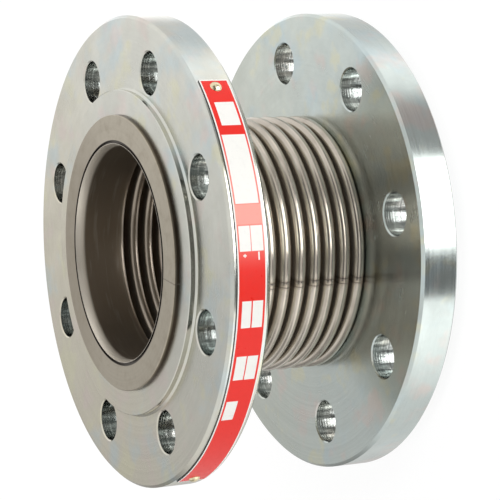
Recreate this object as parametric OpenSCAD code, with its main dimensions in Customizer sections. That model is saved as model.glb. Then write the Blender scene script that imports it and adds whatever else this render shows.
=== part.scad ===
// Axial expansion joint for a pipeline: a steel bellows with a lap ring on each end,
// and a loose drilled flange behind each ring. Millimetres, +Z along the pipe's axis.
// It stands on the face of its rear ring, and the end with the rating strip is on top.

/* [Flanges] */
// Outside diameter of both flanges
flange_od = 200; // [190:1:230]
// Thickness of the flange plate, without its raised face
flange_t = 17; // [16:0.5:30]
// Diameter of the raised face
raised_d = 138; // [124:1:138]
// Height of the raised face above the plate
raised_h = 3; // [1.5:0.5:5]
// Width and height of the slope at the raised face's foot
raised_foot = 0.8; // [0.2:0.1:1]
// Bevel on the raised face's outer edge
raised_bevel = 0.3; // [0.1:0.1:0.5]
// Bevel on the two outer edges of a flange
rim_bevel = 1.2; // [0.3:0.1:1.6]
// Bevel on both mouths of a flange's bore, which clears the first bend of the bellows
bore_bevel = 1.5; // [1.5:0.1:3]
// Diameter of the circle through the bolt holes
bolt_circle = 160; // [159:0.5:168]
// Number of bolt holes in a flange
bolt_count = 8; // [4:4:12]
// Diameter of a bolt hole
bolt_hole_d = 18; // [10:0.5:18]
// Bevel on both mouths of a bolt hole
bolt_bevel = 0.5; // [0.2:0.1:0.8]
// Angle that the rear flange is turned by, against the front one
rear_turn = -14; // [-22:0.5:22]

/* [Bellows] */
// Outside diameter of the plain neck at each end
neck_od = 93; // [88:0.5:96]
// Height of a convolution above the neck
crest_h = 9; // [6:0.25:10]
// Wall of the bellows and its necks
wall = 1.2; // [0.6:0.1:1.6]
// Distance from one convolution to the next
pitch = 6.95; // [6.4:0.05:9]
// Number of convolutions
convolutions = 10; // [3:1:16]
// Depth along the axis of the rounding inside the neck's mouth
lip_depth = 5; // [1:0.1:8]
// Flat land left at the tip of the neck's mouth
lip_land = 0.2; // [0.1:0.05:0.4]

/* [Lap rings] */
// Width of the lap ring on each end, from the neck to its outer edge
ring_w = 12; // [9:0.25:12.5]
// Thickness of the lap ring
ring_t = 2; // [1:0.1:5]
// Bevel on the lap ring's outer edge
ring_bevel = 0.3; // [0.1:0.1:0.4]
// Width of the open groove round the neck's mouth, above the weld
weld_groove = 1.1; // [0.2:0.05:1.2]
// Depth of that groove
weld_depth = 0.8; // [0.3:0.05:0.8]

/* [Rating strip] */
// Width of the strip along the axis
strip_w = 12.5; // [8:0.5:13]
// Thickness of the strip
strip_t = 0.5; // [0.3:0.1:1]
// Angle at which the strip starts, from +X
strip_start = -70; // [-90:1:-20]
// Angle at which the strip ends
strip_end = 43; // [10:1:60]
// Angle from each end of the strip to its drive pin
pin_inset = 2.2; // [2:0.1:6]
// Diameter of a drive pin's domed head
pin_head_d = 5; // [3:0.1:6]
// Height of a drive pin's head
pin_head_h = 1.4; // [0.8:0.1:1.5]
// Diameter of a drive pin's shank
pin_d = 2.4; // [1.5:0.1:2.8]
// Length of a drive pin's shank
pin_length = 6; // [3:0.5:9]

/* [Clearances] */
// Radial play of a loose flange on the neck
neck_play = 1; // [0.6:0.1:1.5]
// Gap between a flange and the first convolution beside it
end_gap = 0.4; // [0.3:0.1:2]
// Radial gap between the neck and the lap ring
weld_gap = 0.05; // [0.03:0.01:0.1]
// Gap between the rim and the strip
strip_gap = 0.05; // [0.03:0.01:0.1]
// Gap round and below a drive pin's shank
pin_gap = 0.05; // [0.03:0.01:0.2]

/* [Hidden] */
$fn = 144;

// Overshoot of a cut past the face that it opens
cut = 1;
// Angle of the first bolt hole: the holes of the front flange straddle the axes
first_hole = 180 / bolt_count;

rim_r = flange_od / 2;
raised_r = raised_d / 2;
neck_r = neck_od / 2;
ring_r = neck_r + ring_w;
bore_r = neck_r + neck_play;
flange_h = flange_t + raised_h;

// Middle of the wall: the radius of each bend, and where the bends have their centres
bend_r = pitch / 4;
root_r = neck_r - wall / 2 + bend_r;
crest_r = neck_r + crest_h - wall / 2 - bend_r;

// From a flange's inner face to the middle of the first convolution, and between the flanges
crest_offset = end_gap + wall / 2 + bend_r;
span = (convolutions - 1) * pitch + 2 * crest_offset;

// Heights, from the rear ring's face up
rear_flange_z = ring_t;
bellows_z = rear_flange_z + flange_h;
front_flange_z = bellows_z + span;
front_ring_z = front_flange_z + flange_h;
total_h = front_ring_z + ring_t;
first_crest_z = bellows_z + crest_offset;
last_crest_z = first_crest_z + (convolutions - 1) * pitch;

// The rounding inside the neck's mouth is an arc of this radius
lip_w = wall - lip_land;
lip_r = (lip_depth * lip_depth + lip_w * lip_w) / (2 * lip_w);

strip_z = front_flange_z + flange_t / 2;
strip_r = rim_r + strip_gap;
pin_angles = [strip_start + pin_inset, strip_end - pin_inset];
head_seat_r = strip_r + strip_t;
dome_r = (pin_head_h * pin_head_h + pin_head_d * pin_head_d / 4) / (2 * pin_head_h);
pin_hole_d = pin_d + 2 * pin_gap;

// Section of a flange, inner face at height 0 and raised face on top
module flange_section() {
    polygon([
        [bore_r + bore_bevel, 0],
        [rim_r - rim_bevel, 0],
        [rim_r, rim_bevel],
        [rim_r, flange_t - rim_bevel],
        [rim_r - rim_bevel, flange_t],
        [raised_r + raised_foot, flange_t],
        [raised_r, flange_t + raised_foot],
        [raised_r, flange_h - raised_bevel],
        [raised_r - raised_bevel, flange_h],
        [bore_r + bore_bevel, flange_h],
        [bore_r, flange_h - bore_bevel],
        [bore_r, bore_bevel]
    ]);
}

// Cut for one bolt hole with both of its bevelled mouths
module bolt_hole() {
    hole_r = bolt_hole_d / 2;
    mouth_h = bolt_bevel + cut;
    translate([0, 0, -cut])
        cylinder(r = hole_r, h = flange_t + 2 * cut);
    translate([0, 0, -cut])
        cylinder(r1 = hole_r + mouth_h, r2 = hole_r, h = mouth_h);
    translate([0, 0, flange_t - bolt_bevel])
        cylinder(r1 = hole_r, r2 = hole_r + mouth_h, h = mouth_h);
}

// Turned and drilled flange, inner face at height 0
module loose_flange(turn) {
    difference() {
        rotate_extrude() flange_section();
        for (i = [0 : bolt_count - 1])
            rotate([0, 0, first_hole + turn + i * 360 / bolt_count])
                translate([bolt_circle / 2, 0, 0])
                    bolt_hole();
    }
}

// Radial hole for a drive pin, along +X
module pin_hole(from_r, to_r) {
    translate([from_r, 0, 0])
        rotate([0, 90, 0])
            cylinder(d = pin_hole_d, h = to_r - from_r);
}

module front_flange() {
    color([0.76, 0.77, 0.75])
    difference() {
        translate([0, 0, front_flange_z]) loose_flange(0);
        for (angle = pin_angles)
            rotate([0, 0, angle])
                translate([0, 0, strip_z])
                    pin_hole(head_seat_r - pin_length - pin_gap, rim_r + cut);
    }
}

module rear_flange() {
    color([0.72, 0.74, 0.74])
    translate([0, 0, bellows_z])
        mirror([0, 0, 1])
            loose_flange(rear_turn);
}

// Ring section of one bend, as thick as the wall
module bend_section() {
    difference() {
        circle(r = bend_r + wall / 2);
        circle(r = bend_r - wall / 2);
    }
}

// Half of a bend: side 1 opens towards the axis, as a crest, and side -1 away from it, as a root
module half_bend(side) {
    reach = bend_r + wall;
    intersection() {
        bend_section();
        translate([side > 0 ? 0 : -reach, -reach])
            square([reach, 2 * reach]);
    }
}

// Quarter bend from the neck into the first side wall, towards direction 1 (up) or -1 (down)
module end_bend(direction) {
    reach = bend_r + wall;
    intersection() {
        bend_section();
        translate([-reach, direction > 0 ? 0 : -reach])
            square([reach, reach]);
    }
}

// One convolution at height 0: its crest and its two flat side walls
module convolution_section() {
    translate([crest_r, 0]) half_bend(1);
    for (side = [-1, 1])
        translate([root_r, side * bend_r - wall / 2])
            square([crest_r - root_r, wall]);
}

// Plain neck with the rounded mouth on top, from height 0 up to length
module neck_section(length) {
    lip_z = length - lip_depth;
    difference() {
        translate([neck_r - wall, 0]) square([wall, length]);
        difference() {
            translate([neck_r - wall - cut, lip_z]) square([lip_w + cut, lip_depth + cut]);
            translate([neck_r - wall + lip_r, lip_z]) circle(r = lip_r);
        }
    }
}

// Whole section of the bellows, at its true height
module bellows_section() {
    neck_length = total_h - last_crest_z - pitch / 2;
    for (i = [0 : convolutions - 1])
        translate([0, first_crest_z + i * pitch]) convolution_section();
    for (i = [1 : convolutions - 1])
        translate([root_r, first_crest_z + (i - 0.5) * pitch]) half_bend(-1);
    translate([root_r, first_crest_z - pitch / 2]) end_bend(1);
    translate([root_r, last_crest_z + pitch / 2]) end_bend(-1);
    translate([0, last_crest_z + pitch / 2]) neck_section(neck_length);
    translate([0, first_crest_z - pitch / 2]) mirror([0, 1]) neck_section(neck_length);
}

module bellows() {
    color([0.56, 0.53, 0.48])
    rotate_extrude() bellows_section();
}

// Lap ring, sealing face on top, from height 0 up
module lap_ring() {
    inner_r = neck_r + weld_gap;
    groove_z = ring_t - weld_depth;
    rotate_extrude()
        polygon([
            [inner_r, 0],
            [ring_r, 0],
            [ring_r, ring_t - ring_bevel],
            [ring_r - ring_bevel, ring_t],
            [neck_r + weld_groove, ring_t],
            [neck_r + weld_groove, groove_z],
            [inner_r, groove_z]
        ]);
}

module front_ring() {
    color([0.68, 0.64, 0.58])
    translate([0, 0, front_ring_z]) lap_ring();
}

module rear_ring() {
    color([0.68, 0.64, 0.58])
    translate([0, 0, ring_t]) mirror([0, 0, 1]) lap_ring();
}

module rating_strip() {
    color([0.86, 0.16, 0.12])
    difference() {
        rotate([0, 0, strip_start])
            rotate_extrude(angle = strip_end - strip_start)
                translate([strip_r, strip_z - strip_w / 2])
                    square([strip_t, strip_w]);
        for (angle = pin_angles)
            rotate([0, 0, angle])
                translate([0, 0, strip_z])
                    pin_hole(strip_r - cut, head_seat_r + cut);
    }
}

// Drive pin along +X: a round shank driven into the rim, and a domed head on the strip
module drive_pin(angle) {
    color([0.78, 0.66, 0.38])
    rotate([0, 0, angle])
        translate([head_seat_r, 0, strip_z])
            rotate([0, 90, 0]) {
                translate([0, 0, -pin_length])
                    cylinder(d = pin_d, h = pin_length);
                rotate_extrude()
                    intersection() {
                        translate([0, pin_head_h - dome_r]) circle(r = dome_r);
                        square([pin_head_d / 2, pin_head_h]);
                    }
            }
}

module upper_drive_pin() {
    drive_pin(pin_angles[1]);
}

module lower_drive_pin() {
    drive_pin(pin_angles[0]);
}

rear_ring();
bellows();
front_ring();
rear_flange();
front_flange();
rating_strip();
upper_drive_pin();
lower_drive_pin();
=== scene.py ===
import math

import bpy
import numpy as np
from mathutils import Euler, Matrix, Vector


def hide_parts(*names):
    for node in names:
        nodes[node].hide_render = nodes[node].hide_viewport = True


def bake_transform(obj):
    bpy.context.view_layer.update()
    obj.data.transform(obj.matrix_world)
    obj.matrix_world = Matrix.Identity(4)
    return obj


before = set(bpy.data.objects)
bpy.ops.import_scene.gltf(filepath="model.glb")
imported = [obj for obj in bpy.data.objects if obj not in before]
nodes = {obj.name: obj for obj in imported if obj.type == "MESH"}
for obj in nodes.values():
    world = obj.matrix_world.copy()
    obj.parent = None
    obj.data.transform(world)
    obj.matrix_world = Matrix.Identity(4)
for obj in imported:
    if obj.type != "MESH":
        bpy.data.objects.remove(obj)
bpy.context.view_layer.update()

# Lengths are in metres and angles in degrees, unless a note says otherwise
scene = bpy.context.scene


# Shader helpers: every number or colour may be a plain value or another node's output

def newMaterial(name, metallic, roughness, anisotropy=0.0):
    material = bpy.data.materials.new(name)
    material.use_nodes = True
    tree = material.node_tree
    shader = tree.nodes["Principled BSDF"]
    shader.inputs["Metallic"].default_value = metallic
    shader.inputs["Roughness"].default_value = roughness
    shader.inputs["Anisotropic"].default_value = anisotropy
    return material, tree, shader


def add(tree, kind, inputs=None, **settings):
    node = tree.nodes.new("ShaderNode" + kind)
    for key, value in settings.items():
        setattr(node, key, value)
    for key, value in (inputs or {}).items():
        if isinstance(value, bpy.types.NodeSocket):
            tree.links.new(value, node.inputs[key])
        else:
            node.inputs[key].default_value = value
    return node


def maths(tree, operation, a, b=0.0, c=0.0):
    return add(tree, "Math", {0: a, 1: b, 2: c}, operation=operation).outputs[0]


def times(tree, a, b):
    return maths(tree, "MULTIPLY", a, b)


def vector(tree, x, y, z):
    return add(tree, "CombineXYZ", {0: x, 1: y, 2: z}).outputs[0]


def noise(tree, where, scale, detail=2.0, roughness=0.5):
    inputs = {"Vector": where, "Scale": scale, "Detail": detail, "Roughness": roughness}
    return add(tree, "TexNoise", inputs).outputs["Fac"]


def remap(tree, value, fromLow, fromHigh, low, high, smooth=False):
    kind = "SMOOTHSTEP" if smooth else "LINEAR"
    inputs = {"Value": value, "From Min": fromLow, "From Max": fromHigh}
    inputs.update({"To Min": low, "To Max": high})
    return add(tree, "MapRange", inputs, interpolation_type=kind).outputs["Result"]


def mixColour(tree, factor, a, b, blend="MIX"):
    node = add(tree, "Mix", data_type="RGBA", blend_type=blend)
    for key, value in ((0, factor), (6, a), (7, b)):
        if isinstance(value, bpy.types.NodeSocket):
            tree.links.new(value, node.inputs[key])
        else:
            node.inputs[key].default_value = value
    return node.outputs[2]


# Curve = straight lines between stops of (place, level), with places from -1 to 1
def curve(tree, value, stops):
    node = add(tree, "ValToRGB", {0: maths(tree, "MULTIPLY_ADD", value, 0.5, 0.5)})
    ramp = node.color_ramp
    for place, _ in stops[1:-1]:
        ramp.elements.new((place + 1) / 2)
    for element, (place, level) in zip(ramp.elements, stops):
        element.position = (place + 1) / 2
        element.color = (level, level, level, 1.0)
    return node.outputs["Color"]


def mixLevel(tree, factor, a, b):
    return add(tree, "Mix", {0: factor, 2: a, 3: b}, data_type="FLOAT").outputs[0]


def grey(tree, value):
    return add(tree, "CombineColor", {0: value, 1: value, 2: value}).outputs[0]


def tinted(tree, factor, base, other):
    return mixColour(tree, factor, base, colour(*other))


def colour(red, green, blue):
    return (red, green, blue, 1.0)


# Polar place on the part: radius = hypot(x, y), angle = atan2(y, x) in degrees, height z,
# and turn = (x, y) / radius
def polar(tree):
    place = add(tree, "TexCoord").outputs["Object"]
    split = add(tree, "SeparateXYZ", {0: place})
    x, y, z = split.outputs[0], split.outputs[1], split.outputs[2]
    flat = vector(tree, x, y, 0.0)
    radius = add(tree, "VectorMath", {0: flat}, operation="LENGTH").outputs["Value"]
    angle = times(tree, maths(tree, "ARCTAN2", y, x), math.degrees(1.0))
    turn = add(tree, "VectorMath", {0: flat}, operation="NORMALIZE").outputs["Vector"]
    return place, radius, angle, z, turn


# Place stretched round the axis: (radius * across, z * across, 0) + turn * around
def stretched(tree, radius, z, turn, across, around):
    flat = vector(tree, times(tree, radius, across), times(tree, z, across), 0.0)
    turnX, turnY = add(tree, "SeparateXYZ", {0: turn}).outputs[:2]
    swing = vector(tree, times(tree, turnX, around), 0.0, times(tree, turnY, around))
    return add(tree, "VectorMath", {0: flat, 1: swing}, operation="ADD").outputs["Vector"]


# Side of the part: dot of turn with the unit vector at an angle, from -1 to 1
def towards(tree, turn, degrees):
    aim = (math.cos(math.radians(degrees)), math.sin(math.radians(degrees)), 0.0)
    return add(tree, "VectorMath", {0: turn, 1: aim}, operation="DOT_PRODUCT").outputs["Value"]


# Side walls, where the surface stands along the axis: 1 where the normal's height is under 0.35,
# and 0 where it is over 0.55
def sideWall(tree):
    normal = add(tree, "TexCoord").outputs["Normal"]
    height = maths(tree, "ABSOLUTE", add(tree, "SeparateXYZ", {0: normal}).outputs[2])
    return remap(tree, height, 0.35, 0.55, 1.0, 0.0), normal


# Lay direction of turned metal: (-y, x, 0) of the place, or of the normal on side walls, turned
# into the world's axes
def turnedLay(tree, shader, turn):
    wall, normal = sideWall(tree)
    out = add(tree, "Mix", {0: wall, 4: turn, 5: normal}, data_type="VECTOR").outputs[1]
    outX, outY = add(tree, "SeparateXYZ", {0: out}).outputs[:2]
    around = vector(tree, times(tree, outY, -1.0), outX, 0.0)
    spaces = {"vector_type": "VECTOR", "convert_from": "OBJECT", "convert_to": "WORLD"}
    world = add(tree, "VectorTransform", {0: around}, **spaces)
    unit = add(tree, "VectorMath", {0: world.outputs[0]}, operation="NORMALIZE").outputs["Vector"]
    tree.links.new(unit, shader.inputs["Tangent"])
    shader.inputs["Anisotropic Rotation"].default_value = 0.25


def bump(tree, shader, height, strength, distance):
    node = add(tree, "Bump", {"Strength": strength, "Distance": distance, "Height": height})
    tree.links.new(node.outputs["Normal"], shader.inputs["Normal"])


# A soft band: 1 where value lies within half of centre, falling to 0 over edge beyond it
def band(tree, value, centre, half, edge):
    off = maths(tree, "ABSOLUTE", maths(tree, "SUBTRACT", value, centre))
    return remap(tree, off, half, half + edge, 1.0, 0.0, True)


# How far a weld line strays from its angle: (noise - 0.5) * width, in degrees
def wander(tree, where, scale, detail, width):
    return times(tree, maths(tree, "SUBTRACT", noise(tree, where, scale, detail), 0.5), width)


def dress(name, material):
    nodes[name].data.materials.clear()
    nodes[name].data.materials.append(material)


# Flanges: turned steel with a pale zinc plating

flangeLook = {
    # warm and its side angle are painted shade: each flange turns to warm towards that side, in degrees
    "front_flange": {
        "base": (0.61, 0.61, 0.55), "warm": (0.63, 0.58, 0.46), "shadeSide": 215.0, "seed": 11.0,
    },
    "rear_flange": {
        "base": (0.55, 0.605, 0.58), "warm": (0.58, 0.60, 0.53), "shadeSide": 180.0, "seed": 3.0,
    },
    "blue": (0.50, 0.60, 0.63),
    "pink": (0.66, 0.565, 0.52),
    "yellow": (0.66, 0.64, 0.46),
    "hole": (0.52, 0.56, 0.54),
    "holeWarm": (0.62, 0.50, 0.43),
    # holeDark and holeLight are painted reflection: real chatter ripples drawn as dark and light bands
    # along the hole
    "holeDark": (0.15, 0.175, 0.17),
    "holeLight": (0.76, 0.81, 0.79),
    "drillGroove": (0.15, 0.16, 0.15),
    "roughness": 0.22,
    "holeRoughness": 0.14,
    "anisotropy": 0.65,
    # scales of the noises, per metre
    "coolClouds": 34.0,
    "warmClouds": 47.0,
    "stains": 55.0,
    "grooves": 1500.0,
    "drillMarks": 1150.0,
    "chatter": 6.5,  # this one over the hole wall's normal, so that its bands run along the hole
    "tint": 0.6,
    "bumpDepth": 0.0002,
    "boltCircle": 0.080,
    "holeRadius": 0.009,
}


# Colour = base, turned warm towards one side as painted shade, tinted by clouds, with bands by the
# wall's normal in the holes that paint the chatter ripples' reflection dark and light; height = noise
# over radius and z, stretched round the axis
def flangeMaterial(name, look, own):
    material, tree, shader = newMaterial(name, 1.0, look["roughness"], look["anisotropy"])
    place, radius, _, z, turn = polar(tree)
    turnedLay(tree, shader, turn)
    cloud = add(tree, "VectorMath", {0: place, 1: (own["seed"],) * 3}, operation="ADD").outputs["Vector"]
    cool = noise(tree, cloud, look["coolClouds"], 3.0, 0.55)
    warm = noise(tree, cloud, look["warmClouds"], 3.0, 0.55)
    # painted shade: the flange's colour turns to warm towards one side
    side = remap(tree, towards(tree, turn, own["shadeSide"]), -0.7, 0.9, 0.0, 0.8, True)
    tone = tinted(tree, side, colour(*own["base"]), own["warm"])
    tone = tinted(tree, remap(tree, cool, 0.5, 0.66, 0.0, look["tint"], True), tone, look["blue"])
    tone = tinted(tree, remap(tree, warm, 0.53, 0.68, 0.0, look["tint"], True), tone, look["pink"])
    tone = tinted(tree, remap(tree, warm, 0.45, 0.33, 0.0, look["tint"], True), tone, look["yellow"])
    lines = noise(tree, stretched(tree, radius, z, turn, look["grooves"], 1.5), 1.0, 2.0, 0.6)
    ripple = noise(tree, stretched(tree, radius, z, turn, look["grooves"] / 2, 1.5), 1.0, 0.0)
    stain = noise(tree, place, look["stains"], 5.0, 0.65)
    shade = remap(tree, lines, 0.3, 0.7, 0.97, 1.02)
    shade = times(tree, shade, remap(tree, stain, 0.35, 0.75, 1.03, 0.92))
    tone = mixColour(tree, 1.0, tone, grey(tree, shade), "MULTIPLY")
    wall, normal = sideWall(tree)
    inHole = times(tree, wall, band(tree, radius, look["boltCircle"], look["holeRadius"], 0.0008))
    marks = noise(tree, stretched(tree, radius, z, turn, 1.0, 400.0), 1.0, 2.0, 0.6)
    drilled = vector(tree, marks, 0.0, times(tree, z, look["drillMarks"]))
    rings = noise(tree, drilled, 1.0, 2.0, 0.7)
    roundHole = {0: place, 1: (20.0,) * 3, 2: normal}  # normal + 20 * place, which sets the holes apart
    where = add(tree, "VectorMath", roundHole, operation="MULTIPLY_ADD").outputs["Vector"]
    chatter = noise(tree, where, look["chatter"], 4.0, 0.65)
    tone = tinted(tree, inHole, tone, look["hole"])
    for factor, tint in (
        (remap(tree, cool, 0.42, 0.6, 0.0, 0.35, True), look["holeWarm"]),
        (remap(tree, rings, 0.35, 0.6, 0.7, 0.0), look["drillGroove"]),
        # painted reflection of the chatter ripples, as dark and light bands
        (remap(tree, chatter, 0.50, 0.60, 0.0, 0.6, True), look["holeDark"]),
        (remap(tree, chatter, 0.46, 0.38, 0.0, 0.45, True), look["holeLight"]),
    ):
        tone = tinted(tree, times(tree, inHole, factor), tone, tint)
    tree.links.new(tone, shader.inputs["Base Color"])
    rough = remap(tree, stain, 0.35, 0.7, look["roughness"] * 0.85, look["roughness"] * 1.25)
    rough = maths(tree, "ADD", rough, remap(tree, lines, 0.3, 0.7, -0.03, 0.03))
    rough = mixLevel(tree, inHole, rough, look["holeRoughness"])
    tree.links.new(rough, shader.inputs["Roughness"])
    height = mixLevel(tree, inHole, times(tree, ripple, 0.012), times(tree, rings, 0.45))
    bump(tree, shader, height, 1.0, look["bumpDepth"])
    return material


for flange in ("rear_flange", "front_flange"):
    dress(flange, flangeMaterial(flange + "_zinc", flangeLook, flangeLook[flange]))
print("flanges dressed")


# Lap rings: matt pickled stainless, with one radial butt weld each

ringLook = {
    "base": (0.43, 0.385, 0.305),
    "dark": (0.315, 0.27, 0.205),
    # near black painted shade on the rim's wall, deepest towards the raised face
    "rust": (0.045, 0.03, 0.02),
    # near black painted shade in the weld groove
    "groove": (0.035, 0.025, 0.018),
    "seam": (0.16, 0.13, 0.11),
    # painted shade: the ring turns darker towards this side, in degrees
    "ringShadeSide": 175.0,
    "middle": 0.0560125,  # half the height of the joint
    "grooveRadius": 0.0476,
    "rimRadius": 0.0580,
    "roughness": 0.34,
    "anisotropy": 0.35,
    # scales of the noises, per metre
    "mottle": 160.0,
    "grain": 900.0,
    "grooves": 1300.0,
    "seamWaves": 500.0,
    "bumpDepth": 0.00005,
    "seamAngle": -11.6,
    "seamWidth": 0.35,  # degrees
}


# Colour = base mottled by noise, with painted shade darker to one side, on the rim's wall and in the
# weld groove, and darker within seamWidth of the seam's angle
def ringMaterial(name, look):
    material, tree, shader = newMaterial(name, 1.0, look["roughness"], look["anisotropy"])
    place, radius, angle, z, turn = polar(tree)
    turnedLay(tree, shader, turn)
    mottle = noise(tree, place, look["mottle"], 5.0, 0.65)
    grain = noise(tree, place, look["grain"], 1.0)
    lines = noise(tree, stretched(tree, radius, z, turn, look["grooves"], 2.0), 1.0, 2.0, 0.6)
    spots = remap(tree, mottle, 0.45, 0.75, 0.0, 0.5, True)
    tone = tinted(tree, spots, colour(*look["base"]), look["dark"])
    # painted shade, darker to one side
    side = remap(tree, towards(tree, turn, look["ringShadeSide"]), 0.1, 1.0, 0.0, 0.8, True)
    tone = tinted(tree, side, tone, look["dark"])
    tone = tinted(tree, remap(tree, lines, 0.45, 0.75, 0.0, 0.3), tone, look["dark"])
    end, edge = look["middle"], look["grooveRadius"]
    fromMiddle = maths(tree, "ABSOLUTE", maths(tree, "SUBTRACT", z, end))
    # painted shade on the rim's wall, deepest towards the raised face
    rust = remap(tree, fromMiddle, end - 0.0016, end - 0.0001, 0.95, 0.3, True)
    outer = remap(tree, radius, look["rimRadius"] - 0.0005, look["rimRadius"], 0.0, 1.0)
    rim = times(tree, sideWall(tree)[0], outer)
    tone = tinted(tree, times(tree, rim, rust), tone, look["rust"])
    # painted shade in the weld groove, near black
    groove = remap(tree, radius, edge + 0.00015, edge + 0.00035, 0.95, 0.0)
    tone = tinted(tree, groove, tone, look["groove"])
    there = maths(tree, "ADD", angle, wander(tree, place, look["seamWaves"], 2.0, 0.6))
    seam = band(tree, there, look["seamAngle"], look["seamWidth"] * 0.3, look["seamWidth"])
    tone = tinted(tree, times(tree, seam, 0.6), tone, look["seam"])
    tree.links.new(tone, shader.inputs["Base Color"])
    rough = remap(tree, mottle, 0.3, 0.7, look["roughness"] - 0.06, look["roughness"] + 0.08)
    tree.links.new(rough, shader.inputs["Roughness"])
    height = maths(tree, "SUBTRACT", grain, times(tree, seam, 1.2))
    bump(tree, shader, height, 0.2, look["bumpDepth"])
    return material


for ring in ("rear_ring", "front_ring"):
    dress(ring, ringMaterial(ring + "_stainless", ringLook))
print("lap rings dressed")


# Bellows: one closed sheet section turned about the axis, with its long weld seam

bellows = {
    "wall": 0.0012,
    "pitch": 0.00695,
    "crestBend": 0.0020,  # mid line's bend at a crest; the roots take the rest of half a pitch
    "count": 10,
    "crestRadius": 0.0555,
    "neckRadius": 0.0465,
    "firstCrest": 0.0247375,  # height of the lowest crest
    "neckStart": 0.035,  # where the painted shade inside turns darker, from the middle
    "height": 0.112025,
    "lipDepth": 0.005,  # length of the rounded mouth
    "lipLand": 0.0002,  # flat left at its end
    "arcSteps": 10,  # steps along each half bend
    "columns": 132,  # steps round the tube
    "seamAngle": -16.5,
    "seamHeight": 0.00012,
    "seamWidth": 0.0011,
    "base": (0.53, 0.48, 0.41),
    "dark": (0.38, 0.335, 0.28),
    "light": (0.64, 0.59, 0.52),
    # painted shade inside the tube
    "inner": (0.26, 0.21, 0.155),
    "swirl": (0.42, 0.37, 0.30),
    # painted highlight on the rounded mouth
    "lip": (0.78, 0.72, 0.62),
    # painted shade in the roots between the crests
    "root": (0.22, 0.185, 0.155),
    "heatTint": (0.25, 0.19, 0.14),  # beside the weld seam
    "weldLine": (0.09, 0.07, 0.06),
    # near black painted shade on the neck's outer wall within the lap ring
    "neckEndShade": (0.04, 0.03, 0.02),
    "metallic": 0.9,  # a little under 1 keeps specks out of the bends
    "roughness": 0.21,
    "innerRoughness": 0.30,
    "lipRoughness": 0.42,
    "anisotropy": 0.3,
    # scales of the noises, per metre
    "mottle": 110.0,
    "grooves": 900.0,
    "streaks": 420.0,
    "swirls": 330.0,
    "seamWaves": 260.0,
    "bumpDepth": 0.00006,
}


# Section as (radius, z): both walls at w/2 each side of a mid line of half circles, whose radii
# add up to pitch/2, and a mouth rounded by a circle through the lip's two ends
def bellowsSection(b):
    half, span = b["wall"] / 2, b["pitch"] / 2
    crestBend, rootBend = b["crestBend"], span - b["crestBend"]
    root = b["neckRadius"] - half + rootBend
    crest = b["crestRadius"] - half - crestBend
    first, last = b["firstCrest"], b["firstCrest"] + (b["count"] - 1) * b["pitch"]
    steps = b["arcSteps"]

    def arc(centreR, centreZ, radius, start, end, count):
        t = np.radians(np.linspace(start, end, count))
        return np.column_stack([centreR + radius * np.cos(t), centreZ + radius * np.sin(t)])

    def wall(side):  # side 1 is the outer wall and -1 the inner one, from the rear end to the front end
        rows = [arc(root, first - span, rootBend - side * half, 180, 90, steps // 2 + 1)]
        for i in range(b["count"]):
            z = first + i * b["pitch"]
            rows.append(arc(crest, z, crestBend + side * half, -90, 90, steps + 1))
            if i < b["count"] - 1:
                rows.append(arc(root, z + span, rootBend - side * half, 270, 90, steps + 1))
        rows.append(arc(root, last + span, rootBend - side * half, 270, 180, steps // 2 + 1))
        return np.vstack(rows)

    lip = b["wall"] - b["lipLand"]
    lipR = (b["lipDepth"] ** 2 + lip ** 2) / (2 * lip)
    z = np.linspace(b["height"] - b["lipDepth"], b["height"], 7)
    mouthR = b["neckRadius"] - b["wall"] + lipR - np.sqrt(lipR ** 2 - (z - z[0]) ** 2)
    mouth = np.column_stack([mouthR, z])
    straight = np.linspace(last + span, b["height"] - b["lipDepth"], 5)[1:-1]
    innerNeck = np.column_stack([np.full(3, b["neckRadius"] - b["wall"]), straight])
    outerZ = np.linspace(last + span, b["height"], 6)[1:]
    outerNeck = np.column_stack([np.full(5, b["neckRadius"]), outerZ])
    middle = b["height"] / 2

    def mirrored(rows):
        return np.column_stack([rows[:, 0], 2 * middle - rows[:, 1]])[::-1]

    frontEnd = [outerNeck, mouth[::-1], innerNeck[::-1]]
    rearEnd = [mirrored(innerNeck[::-1]), mirrored(mouth[::-1])]
    return np.vstack([mirrored(outerNeck), wall(1)] + frontEnd + [wall(-1)[::-1]] + rearEnd)


# Point(i, j) = (r cos a, r sin a, z) of section point i at angle a(j); along the weld seam
# r grows by h exp(-(r (a - seam) / w)^2)
def bellowsGrid(b):
    section = bellowsSection(b)
    keep = np.r_[True, np.linalg.norm(np.diff(section, axis=0), axis=1) > 1e-6]
    section = section[keep]
    seam = math.radians(b["seamAngle"])
    close = np.array([0.35, 0.7, 1, 1.4, 2, 3]) * b["seamWidth"] / b["crestRadius"]
    near = seam + np.r_[-close[::-1], 0, close]
    step = 2 * math.pi / b["columns"]
    rest = seam + np.arange(1, b["columns"]) * step
    clear = (rest > near[-1] + step / 3) & (rest < near[0] + 2 * math.pi - step / 3)
    angles = np.sort(np.r_[near, rest[clear]])
    r, z = section[:, :1], section[:, 1:]
    off = (angles - seam + math.pi) % (2 * math.pi) - math.pi
    bead = b["seamHeight"] * np.exp(-(r * off / b["seamWidth"]) ** 2) * (r > b["neckRadius"] + 1e-5)
    radius = r + bead
    points = np.stack([radius * np.cos(angles), radius * np.sin(angles), z + 0 * radius], axis=-1)
    rows, columns = points.shape[:2]
    i, j = np.meshgrid(np.arange(rows) * columns, np.arange(columns), indexing="ij")
    down, right = (i + columns) % (rows * columns), (j + 1) % columns
    faces = np.stack([i + j, i + right, down + right, down + j], axis=-1)
    return points.reshape(-1, 3), faces.reshape(-1, 4)


def meshPiece(name, points, faces):
    mesh = bpy.data.meshes.new(name)
    mesh.from_pydata(points.tolist(), [], faces.tolist())
    mesh.polygons.foreach_set("use_smooth", np.ones(len(mesh.polygons), bool))
    mesh.set_sharp_from_angle(angle=math.radians(40))
    mesh.validate()
    piece = bpy.data.objects.new(name, mesh)
    scene.collection.objects.link(piece)
    return piece
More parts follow.
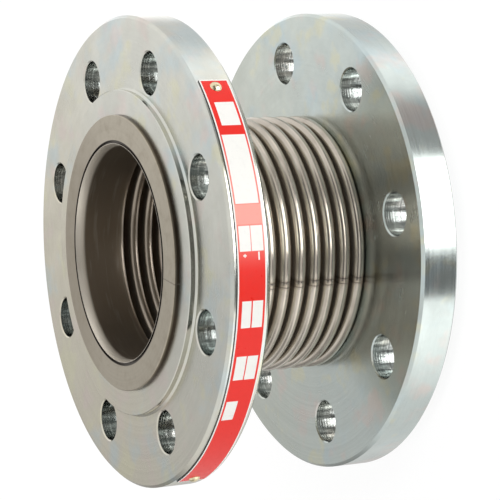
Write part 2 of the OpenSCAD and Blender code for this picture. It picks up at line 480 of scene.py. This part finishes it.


# Colour = base with noise stretched round the tube, darker along the weld seam, with painted shade
# darker in the roots, brown inside and on the neck's ends, and a painted highlight on the rounded mouth
def bellowsMaterial(b):
    finish = (b["metallic"], b["roughness"], b["anisotropy"])
    material, tree, shader = newMaterial("bellows_stainless", *finish)
    place, radius, angle, z, turn = polar(tree)
    turnedLay(tree, shader, turn)
    lines = noise(tree, stretched(tree, radius, z, turn, b["grooves"], 2.5), 1.0, 3.0, 0.6)
    streaks = noise(tree, stretched(tree, radius, z, turn, b["streaks"], 1.6), 1.0, 2.0, 0.5)
    mottle = noise(tree, place, b["mottle"], 2.0, 0.5)
    spots = remap(tree, mottle, 0.42, 0.72, 0.0, 0.45, True)
    tone = tinted(tree, spots, colour(*b["base"]), b["dark"])
    tone = tinted(tree, remap(tree, lines, 0.35, 0.7, 0.0, 0.3), tone, b["dark"])
    tone = tinted(tree, remap(tree, streaks, 0.52, 0.66, 0.0, 0.4, True), tone, b["light"])
    # painted shade, darker towards the roots
    depth = remap(tree, radius, b["neckRadius"] - 0.0002, b["crestRadius"] - 0.003, 0.25, 0.0, True)
    tone = tinted(tree, depth, tone, b["root"])
    there = maths(tree, "ADD", angle, wander(tree, place, b["seamWaves"], 3.0, 1.1))
    tint = band(tree, there, b["seamAngle"], 1.3, 1.6)
    edges = [band(tree, there, b["seamAngle"] + side, 0.12, 0.25) for side in (1.15, -1.15)]
    line = maths(tree, "MAXIMUM", edges[0], edges[1])
    tone = tinted(tree, times(tree, tint, 0.35), tone, b["heatTint"])
    tone = tinted(tree, times(tree, line, 0.5), tone, b["weldLine"])
    end, deep = b["height"] / 2, b["lipDepth"]
    fromMiddle = maths(tree, "ABSOLUTE", maths(tree, "SUBTRACT", z, end))
    atEnd = remap(tree, fromMiddle, end - 0.0012, end - 0.0008, 0.0, 0.9)
    normal = add(tree, "TexCoord").outputs["Normal"]
    facing = add(tree, "VectorMath", {0: normal, 1: turn}, operation="DOT_PRODUCT").outputs["Value"]
    outside = remap(tree, facing, -0.1, 0.1, 0.0, 1.0)
    inside = maths(tree, "SUBTRACT", 1.0, outside)
    # painted shade on the neck's outer wall at each end, within the lap ring
    tone = tinted(tree, times(tree, outside, atEnd), tone, b["neckEndShade"])
    # painted highlight: the inside of the rounded mouth turns pale
    lip = remap(tree, fromMiddle, end - deep * 0.9, end - deep * 0.6, 0.0, 1.0, True)
    lip = times(tree, inside, lip)
    # painted shade inside the tube, deeper past neckStart
    neckStart = b["neckStart"]
    neck = remap(tree, fromMiddle, neckStart - 0.001, neckStart + 0.001, 0.5, 0.8)
    neck = times(tree, inside, neck)
    tone = tinted(tree, neck, tone, b["inner"])
    swirl = noise(tree, stretched(tree, radius, z, turn, b["swirls"], 1.3), 1.0, 3.0, 0.6)
    swirl = times(tree, inside, remap(tree, swirl, 0.54, 0.66, 0.0, 0.7, True))
    tone = tinted(tree, swirl, tone, b["swirl"])
    tone = tinted(tree, lip, tone, b["lip"])
    tree.links.new(tone, shader.inputs["Base Color"])
    rough = remap(tree, mottle, 0.3, 0.7, b["roughness"] - 0.03, b["roughness"] + 0.06)
    rough = mixLevel(tree, inside, rough, b["innerRoughness"])
    rough = mixLevel(tree, lip, rough, b["lipRoughness"])
    tree.links.new(rough, shader.inputs["Roughness"])
    bump(tree, shader, times(tree, line, -1.0), 0.08, b["bumpDepth"])
    return material


tube = meshPiece("bellows_tube", *bellowsGrid(bellows))
tube.data.materials.append(bellowsMaterial(bellows))
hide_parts("bellows")
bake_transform(tube)
print("bellows made:", len(tube.data.polygons), "faces")


# Rating strip: red print with bare white fields, laid out by angle and by height across the strip

strip = {
    "red": (0.74, 0.018, 0.010),
    "wornRed": (0.64, 0.024, 0.015),
    "paleRed": (0.86, 0.45, 0.38),
    "white": (0.82, 0.81, 0.77),
    "wornWhite": (0.70, 0.69, 0.66),
    # painted shade: near black on the strip's side faces, for the gap at its edge
    "edge": (0.03, 0.03, 0.03),
    "shine": 0.35,
    "roughness": 0.32,
    "wear": 420.0,  # scales of the noises, per metre
    "grain": 900.0,
    "bumpDepth": 0.00005,
    "middle": 0.098525,
    "halfWidth": 0.00625,
    "start": -70.0,
    "end": 43.0,
    "border": 0.0006,
    "borderAngle": 0.35,
    # fields as (upper angle, lower angle, rear edge, front edge), edges in millimetres from the middle
    "fields": [
        (36.2, 29.9, -4.7, 3.6), (27.5, 11.3, -5.0, 5.0),
        (6.4, 0.8, -5.2, -0.15), (6.4, 0.8, 0.15, 5.0),
        (-10.2, -16.3, -4.8, -0.4), (-10.2, -16.3, 0.2, 4.2),
        (-23.1, -29.1, -4.8, -0.3), (-23.1, -29.1, 0.2, 4.5),
        (-35.0, -40.6, -0.1, 4.8),
    ],
    # a plus of two bars and a minus, given like the fields
    "marks": [(0.0, -0.3, 2.2, 3.6), (0.25, -0.55, 2.7, 3.1), (0.6, -1.2, -3.4, -2.8)],
    # painted glare: the red turns pale over this field
    "glareField": (11.0, 6.8),
    # the red turns paler over this soft stretch of angles
    "paleStretch": (12.0, 5.0, 11.0),  # centre, half and soft edge
}


# Field = product of a band in angle and a band in height; the white is the most of all fields
def stripMaterial(s):
    material, tree, shader = newMaterial("rating_strip_print", 0.0, s["roughness"])
    shader.inputs["Specular IOR Level"].default_value = s["shine"]
    place, _, angle, z, _ = polar(tree)
    across = times(tree, maths(tree, "SUBTRACT", z, s["middle"]), 1000.0)

    def box(top, bottom, low, high):
        side = band(tree, angle, (top + bottom) / 2, abs(top - bottom) / 2 - 0.06, 0.12)
        rise = band(tree, across, (low + high) / 2, abs(high - low) / 2 - 0.08, 0.16)
        return times(tree, side, rise)

    half = (s["halfWidth"] - s["border"]) * 1000
    inside = box(s["end"] - s["borderAngle"], s["start"] + s["borderAngle"], -half, half)
    white = maths(tree, "SUBTRACT", 1.0, inside)
    for field in s["fields"] + s["marks"]:
        white = maths(tree, "MAXIMUM", white, box(*field))
    wear = noise(tree, place, s["wear"], 4.0, 0.7)
    worn = remap(tree, wear, 0.4, 0.75, 0.0, 0.25, True)
    red = tinted(tree, worn, colour(*s["red"]), s["wornRed"])
    # painted glare pales the red over one field
    top, bottom = s["glareField"]
    pale = times(tree, band(tree, angle, (top + bottom) / 2, (top - bottom) / 2, 0.5), 0.7)
    # paler red over a soft stretch of angles
    faded = times(tree, band(tree, angle, *s["paleStretch"]), 0.4)
    red = tinted(tree, maths(tree, "MAXIMUM", pale, faded), red, s["paleRed"])
    worn = remap(tree, wear, 0.45, 0.8, 0.0, 0.35, True)
    paper = tinted(tree, worn, colour(*s["white"]), s["wornWhite"])
    # painted shade: the strip's side faces turn near black
    normal = add(tree, "SeparateXYZ", {0: add(tree, "TexCoord").outputs["Normal"]}).outputs[2]
    edge = remap(tree, maths(tree, "ABSOLUTE", normal), 0.5, 0.7, 0.0, 1.0)
    ink = tinted(tree, edge, mixColour(tree, white, red, paper), s["edge"])
    tree.links.new(ink, shader.inputs["Base Color"])
    rough = remap(tree, wear, 0.3, 0.7, s["roughness"] - 0.06, s["roughness"] + 0.10)
    tree.links.new(rough, shader.inputs["Roughness"])
    bump(tree, shader, noise(tree, place, s["grain"], 3.0), 0.08, s["bumpDepth"])
    return material


dress("rating_strip", stripMaterial(strip))
print("rating strip dressed")


# Drive pins: bright brass plating with a few scuffs

pinLook = {
    "base": (0.80, 0.70, 0.46),
    "dark": (0.45, 0.36, 0.22),
    "roughness": 0.22,
    "scuffs": 1400.0,  # scale of the noise, per metre
    "bumpDepth": 0.00008,
}


# Colour = base, darkened by fine noise; height = the same noise
def pinMaterial(look):
    material, tree, shader = newMaterial("drive_pin_brass", 1.0, look["roughness"])
    place = add(tree, "TexCoord").outputs["Object"]
    scuff = noise(tree, place, look["scuffs"], 4.0, 0.7)
    worn = remap(tree, scuff, 0.45, 0.75, 0.0, 0.7, True)
    tone = tinted(tree, worn, colour(*look["base"]), look["dark"])
    tree.links.new(tone, shader.inputs["Base Color"])
    rough = remap(tree, scuff, 0.3, 0.7, look["roughness"] - 0.06, look["roughness"] + 0.12)
    tree.links.new(rough, shader.inputs["Roughness"])
    bump(tree, shader, scuff, 0.3, look["bumpDepth"])
    return material


brass = pinMaterial(pinLook)
for pin in ("upper_drive_pin", "lower_drive_pin"):
    dress(pin, brass)
print("drive pins dressed")


# Stage: a plain white floor as the camera's backdrop, and a studio that the metal mirrors

stage = {
    "size": 12.0,
    "colour": (0.85, 0.85, 0.85),
    "glow": 0.8,  # share of the floor's own light in what the camera sees
    "glowStrength": 1.08,
    # brightness of each part of the studio, where 1 is white
    "wallLow": 0.60, "wallHigh": 1.10, "under": 0.34,  # behind the part, on the picture's left
    "cameraSide": 1.0, "stand": 0.12, "camera": 0.04,  # on the left near the camera, and itself
    "softbox": 4.8, "dark": 0.20,  # on the right near the camera
    # on the right above and below, from behind the part (-1) to the camera's side (1)
    "roof": [
        (-1, 1.5), (-0.85, 1.3), (-0.75, 0.8), (-0.55, 0.82), (-0.35, 1.0),
        (-0.15, 1.45), (0.1, 1.4), (0.28, 0.45), (1, 0.30),
    ],
    "table": [
        (-1, 0.35), (-0.85, 0.65), (-0.6, 0.85), (-0.2, 0.85), (0, 0.9),
        (0.2, 1.15), (0.43, 1.5), (0.63, 1.75), (1, 1.5),
    ],
    # lamps as (name, place, width, watts)
    "lamps": [
        ("key_softbox", (0.9, 0.75, 0.9), 0.7, 5.9),
        ("low_softbox", (1.0, -0.9, 0.5), 0.7, 1.5),
    ],
    "lampTarget": (0, 0, 0.05),
    # direction to the camera, and bands of directions as (centre, half) along y or z
    "cameraAim": (0.92, 0.13, 0.37),
    "standHeight": (0.15, 0.65), "standSide": (0.47, 0.20),
    "darkHeight": (-0.24, 0.18),
    "softboxHeight": (0.225, 0.305),
}


def makeFloor(s):
    half = s["size"] / 2
    points = np.array([[-half, -half, 0], [half, -half, 0], [half, half, 0], [-half, half, 0]])
    floor = meshPiece("studio_floor", points, np.array([[0, 1, 2, 3]]))
    material, tree, shader = newMaterial("floor_white", 0.0, 0.9)
    shader.inputs["Base Color"].default_value = colour(*s["colour"])
    glow = add(tree, "Emission", {"Color": colour(1, 1, 1), "Strength": s["glowStrength"]})
    path = add(tree, "LightPath")
    seen = maths(tree, "MAXIMUM", path.outputs["Is Camera Ray"], path.outputs["Is Glossy Ray"])
    seen = maths(tree, "MAXIMUM", seen, path.outputs["Is Transmission Ray"])
    share = times(tree, seen, s["glow"])
    mixed = add(tree, "MixShader", {0: share, 1: shader.outputs[0], 2: glow.outputs[0]})
    tree.links.new(mixed.outputs[0], tree.nodes["Material Output"].inputs["Surface"])
    floor.data.materials.append(material)
    floor.visible_glossy = False  # the metal mirrors the studio instead
    floor.visible_shadow = False  # and the studio lights the part from below too


# World = studio by direction, as the photo is held: up is y, right is -z and the camera's side +x
def makeWorld(s):
    world = bpy.data.worlds.new("studio")
    scene.world = world
    world.use_nodes = True
    tree = world.node_tree
    split = add(tree, "SeparateXYZ", {0: add(tree, "TexCoord").outputs["Generated"]})
    x, y, z = split.outputs[0], split.outputs[1], split.outputs[2]
    near = remap(tree, x, 0.1, 0.5, 0.0, 1.0, True)
    wall = remap(tree, y, -0.16, 0.14, s["wallLow"], s["wallHigh"], True)
    under = mixLevel(tree, remap(tree, z, 0.40, 0.22, 0.0, 1.0, True), s["cameraSide"], s["under"])
    wall = mixLevel(tree, remap(tree, y, -0.22, -0.38, 0.0, 1.0, True), wall, under)
    left = mixLevel(tree, near, wall, s["cameraSide"])
    upright = band(tree, y, *s["standHeight"], 0.12)
    stand = times(tree, upright, band(tree, z, *s["standSide"], 0.10))
    left = mixLevel(tree, times(tree, near, stand), left, s["stand"])
    facing = {0: vector(tree, x, y, z), 1: s["cameraAim"]}
    aim = add(tree, "VectorMath", facing, operation="DOT_PRODUCT").outputs["Value"]
    left = mixLevel(tree, remap(tree, aim, 0.962, 0.975, 0.0, 1.0, True), left, s["camera"])
    tableEdge = maths(tree, "MULTIPLY_ADD", x, 0.21, y)
    below = remap(tree, tableEdge, -0.14, -0.17, 0.0, 1.0, True)
    right = mixLevel(tree, below, curve(tree, x, s["roof"]), curve(tree, x, s["table"]))
    beside = times(tree, near, band(tree, y, *s["darkHeight"], 0.015))
    right = mixLevel(tree, beside, right, s["dark"])
    level = mixLevel(tree, remap(tree, z, 0.0, -0.25, 0.0, 1.0, True), left, right)
    towardsRight = remap(tree, z, 0.05, -0.15, 0.0, 1.0, True)
    lit = times(tree, towardsRight, remap(tree, x, 0.42, 0.62, 0.0, 1.0, True))
    lit = times(tree, lit, band(tree, y, *s["softboxHeight"], 0.015))
    level = mixLevel(tree, lit, level, s["softbox"])
    path = add(tree, "LightPath")
    level = mixLevel(tree, path.outputs["Is Camera Ray"], level, 1.0)
    background = tree.nodes["Background"]
    tree.links.new(grey(tree, level), background.inputs["Color"])
    background.inputs["Strength"].default_value = 1.0


# Lamps light the floor and the strip; the metal mirrors the studio alone
def areaLamp(name, place, target, size, power):
    data = bpy.data.lights.new(name, "AREA")
    data.shape = "SQUARE"
    data.size = size
    data.energy = power
    lamp = bpy.data.objects.new(name, data)
    scene.collection.objects.link(lamp)
    lamp.location = place
    lamp.rotation_euler = (Vector(target) - Vector(place)).to_track_quat("-Z", "Y").to_euler()
    lamp.visible_camera = False
    lamp.visible_glossy = False


makeFloor(stage)
makeWorld(stage)
for name, place, size, power in stage["lamps"]:
    areaLamp(name, place, stage["lampTarget"], size, power)
print("stage and lights set")


# Camera at the photograph's viewpoint, rolled so that the pipe's axis lies level in the picture

cameraView = {
    "place": (0.80966, 0.03160, 0.45308),
    "turn": (-7.4842, 63.2535, -5.9673),  # about x, y and z
    "focal": 4.147,  # in widths of the picture
    "sensor": 36.0,  # millimetres
}


def makeCamera(view):
    data = bpy.data.cameras.new("photo_camera")
    data.sensor_width = view["sensor"]
    data.lens = view["sensor"] * view["focal"]
    data.clip_start = 0.01
    data.clip_end = 50
    camera = bpy.data.objects.new("photo_camera", data)
    scene.collection.objects.link(camera)
    turn = Euler([math.radians(angle) for angle in view["turn"]])
    camera.matrix_world = Matrix.LocRotScale(Vector(view["place"]), turn, None)
    scene.camera = camera


makeCamera(cameraView)
scene.view_settings.view_transform = "Standard"
print("camera set")
